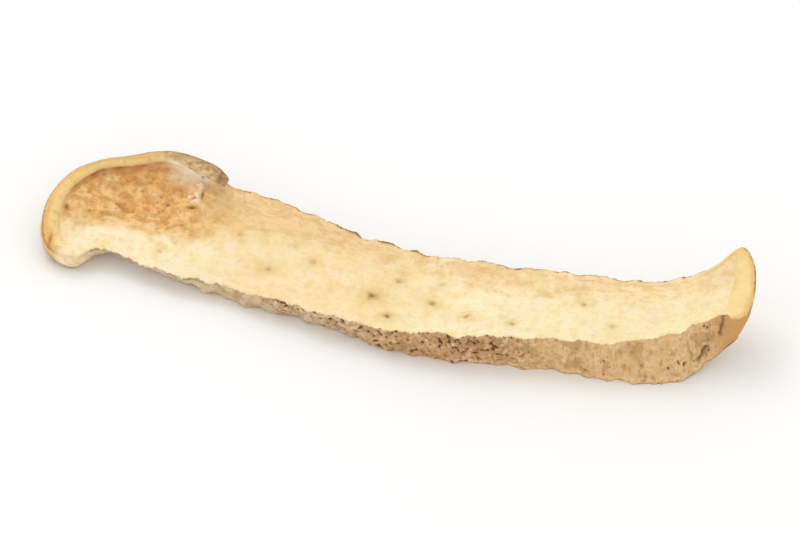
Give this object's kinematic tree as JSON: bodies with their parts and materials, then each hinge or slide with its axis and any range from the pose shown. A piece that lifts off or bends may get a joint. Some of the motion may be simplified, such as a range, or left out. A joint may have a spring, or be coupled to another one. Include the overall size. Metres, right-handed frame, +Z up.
{
  "type": "dried yam slice",
  "caption": "Dried slice of yam root with a flared, rimmed lobe at one end, a pitted bark edge and an upturned tip at the other end.",
  "frame": {"origin": "middle of the footprint box, on the surface that the slice lies on", "axes": "+X along the slice from the rimmed lobe to the upturned tip, +Y towards the raised back edge, +Z up out of the cut face"},
  "size_m": [0.0758, 0.0162, 0.0099],
  "materials": {
    "dried_yam": "matte"
  },
  "bodies": {
    "root": {"yam_slice": "dried_yam"}
  },
  "joints": []
}
